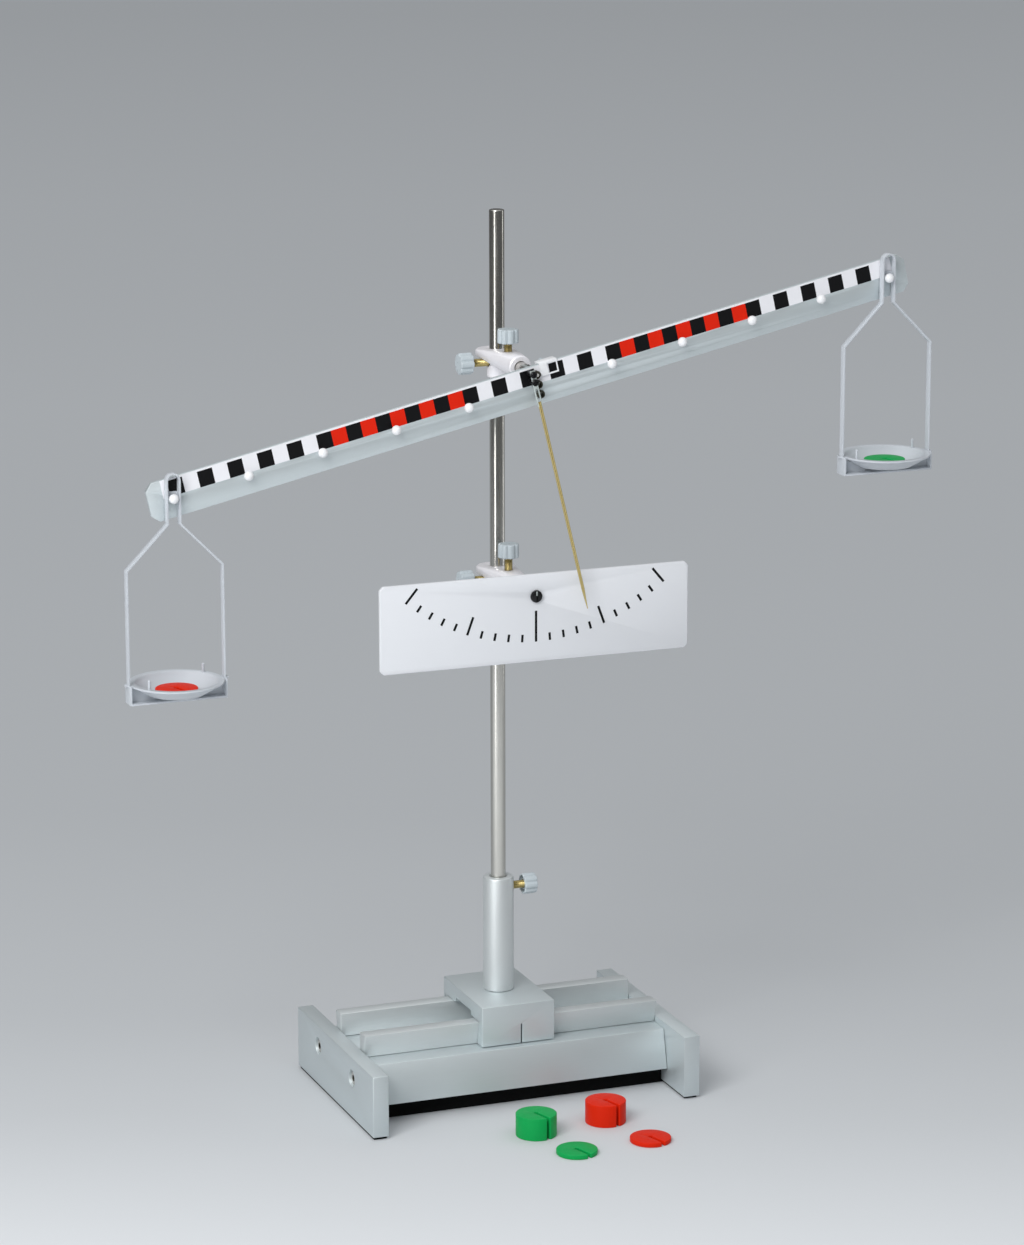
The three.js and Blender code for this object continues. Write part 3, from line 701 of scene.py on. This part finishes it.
def dress_pan(side):
    soften(f"{side}_bail", "white_plastic", 0.25, material=PAN_PLASTIC)
    rim = high(f"{side}_bowl").z - PEG_HEIGHT
    radius = size(f"{side}_bowl").x / 2
    profile = [
        (0, -8.2), (17.2, -8.2), (18, -8), (24.5, -4.2), (27.2, -2.4), (28.2, -2),
        (radius - 0.3, -1.3), (radius, -0.9), (radius, -0.3), (radius - 0.3, 0),
        (26.6, 0), (26, -0.3), (25.2, -1.3), (24, -2.6), (17.6, -6.5), (16.3, -6.9), (0, -6.9),
    ]
    bowl = revolve(profile, 128)
    for turn in (PEG_TURNS[side], PEG_TURNS[side] + math.pi):
        peg = revolve([(0, -0.5), (0.9, -0.5), (0.9, PEG_HEIGHT - 0.6), (0.5, PEG_HEIGHT - 0.1),
                       (0, PEG_HEIGHT)], 24)
        peg.transform(at(PEG_AT * math.cos(turn), PEG_AT * math.sin(turn), 0))
        bowl = union(bowl, peg)
    middle = centre(f"{side}_bowl")
    refine(f"{side}_bowl", bowl, "white_plastic", at(middle.x, middle.y, rim), PAN_PLASTIC)


# ---------- weights ----------

def slotted_disc(height):
    """Disc with a slot from its middle out to its rim along +X."""
    radius, slot, core = DISC_RADIUS, 1.15, 1.5
    edge = math.asin(slot / radius)
    turns = [edge + (2 * math.pi - 2 * edge) * k / 120 for k in range(121)]
    outline = [(radius * math.cos(t), radius * math.sin(t)) for t in turns]
    inner = math.asin(slot / core)
    for k in range(25):
        turn = 2 * math.pi - inner - (2 * math.pi - 2 * inner) * k / 24
        outline.append((core * math.cos(turn), core * math.sin(turn)))
    return rounded(prism(outline, 0, height), 0.45, 3, 50)


def dress_weights():
    turn = Matrix.Rotation(DISC_TURN, 4, "Z")
    for node, slot in (
        ("left_pan_weight", "red_coated_metal"), ("right_pan_weight", "green_plastic"),
        ("thick_green_weight", "green_plastic"), ("thick_red_weight", "red_coated_metal"),
        ("thin_green_weight", "green_plastic"), ("thin_red_weight", "red_coated_metal"),
    ):
        place = at(low(node).x + DISC_RADIUS, high(node).y - DISC_RADIUS, low(node).z)
        refine(node, moved(slotted_disc(size(node).z), turn), slot, place)


# ---------- floor, light and camera ----------

def floor_with_painted_light():
    """Pale paper with painted light: its colour is lighter towards the viewer and darker far off,
    standing in for how the light falls on the floor.
    """
    material = bpy.data.materials.new("paper")
    material.use_nodes = True
    nodes, links = material.node_tree.nodes, material.node_tree.links
    shader = nodes["Principled BSDF"]
    shader.inputs["Roughness"].default_value = 0.9
    shader.inputs["Specular IOR Level"].default_value = 0.1
    place = nodes.new("ShaderNodeTexCoord").outputs["Object"]
    split = nodes.new("ShaderNodeSeparateXYZ")
    links.new(place, split.inputs["Vector"])
    span = nodes.new("ShaderNodeMapRange")
    span.inputs["From Min"].default_value = -1.5
    span.inputs["From Max"].default_value = 7.5
    links.new(split.outputs["Y"], span.inputs["Value"])
    ramp = nodes.new("ShaderNodeValToRGB")
    links.new(span.outputs["Result"], ramp.inputs["Fac"])
    # Painted light: the floor's tones by distance from the viewer, lighter near and darker far off.
    painted_light_shades = (
        (0.0, 246), (0.1, 248), (0.138, 226), (0.162, 207), (0.186, 196),
        (0.244, 192), (0.326, 199), (0.447, 206), (0.647, 206), (1.0, 198),
    )
    ramp.color_ramp.elements.remove(ramp.color_ramp.elements[-1])
    for position, shade in painted_light_shades:
        stop = ramp.color_ramp.elements.new(position) if position else ramp.color_ramp.elements[0]
        stop.color = linear(shade - 3, shade, shade + 3)
    links.new(ramp.outputs["Color"], shader.inputs["Base Color"])
    return material


def add_floor():
    bpy.ops.mesh.primitive_plane_add(size=40)
    floor = bpy.context.object
    floor.name = "floor"
    floor.rotation_euler.z = -CAMERA_YAW
    floor.data.materials.append(floor_with_painted_light())


def add_area(name, position, target, width, height, power):
    light = bpy.data.lights.new(name, "AREA")
    light.shape = "RECTANGLE"
    light.size = width
    light.size_y = height
    light.energy = power
    obj = bpy.data.objects.new(name, light)
    bpy.context.scene.collection.objects.link(obj)
    obj.location = position
    obj.rotation_euler = (Vector(target) - Vector(position)).to_track_quat("-Z", "Y").to_euler()


def add_lights():
    """A room that is dim round the horizon and bright above, a large key light and two tall strips."""
    world = bpy.data.worlds.new("studio")
    bpy.context.scene.world = world
    world.use_nodes = True
    nodes, links = world.node_tree.nodes, world.node_tree.links
    background = nodes["Background"]
    split = nodes.new("ShaderNodeSeparateXYZ")
    links.new(nodes.new("ShaderNodeTexCoord").outputs["Generated"], split.inputs["Vector"])
    rise = nodes.new("ShaderNodeMapRange")
    rise.interpolation_type = "SMOOTHSTEP"
    rise.inputs["From Min"].default_value = 0.35
    rise.inputs["From Max"].default_value = 0.7
    rise.inputs["To Min"].default_value = 0.13
    rise.inputs["To Max"].default_value = 0.85
    links.new(split.outputs["Z"], rise.inputs["Value"])
    links.new(rise.outputs["Result"], background.inputs["Strength"])
    background.inputs["Color"].default_value = linear(238, 240, 242)
    middle = (0, 0, 0.3)
    add_area("key", (-1.8, -1.6, 2.2), middle, 1.6, 1.2, 51)
    add_area("left_strip", (-2.1, -1.5, 0.6), middle, 0.6, 1.2, 9)
    add_area("right_strip", (2.0, -0.3, 0.6), middle, 0.25, 1.2, 2)


def add_camera():
    camera = bpy.data.objects.new("camera", bpy.data.cameras.new("camera"))
    bpy.context.scene.collection.objects.link(camera)
    camera.data.lens = CAMERA_LENS
    camera.data.sensor_width = 36
    camera.data.clip_end = 100
    turn = Matrix.Rotation(-CAMERA_YAW, 4, "Z")
    tilt = Matrix.Rotation(math.pi / 2 - CAMERA_PITCH, 4, "X")
    roll = Matrix.Rotation(CAMERA_ROLL, 4, "Z")
    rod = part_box("support_rod")
    foot = Vector(((rod[0].x + rod[1].x) / 2, (rod[0].y + rod[1].y) / 2, 0))
    camera.matrix_world = Matrix.Translation(foot + CAMERA_FROM_ROD) @ turn @ tilt @ roll
    bpy.context.scene.camera = camera


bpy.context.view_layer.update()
bpy.context.scene.view_settings.view_transform = "Standard"
dress_rail()
soften("carriage_block", "anodised_aluminium", 0.5)
soften("carriage_set_screw", "black_steel", 0.2)
dress_sleeve()
dress_rod()
dress_thumbscrew("sleeve_thumbscrew", (1, 0, 0))
dress_clamp("upper", "beam_axle")
dress_clamp("lower", "dial_spindle")
dress_axle()
soften("dial_spindle", "stainless_steel", 0.3)
dress_dial()
dress_beam()
dress_pan("left")
dress_pan("right")
dress_weights()
add_floor()
add_lights()
add_camera()
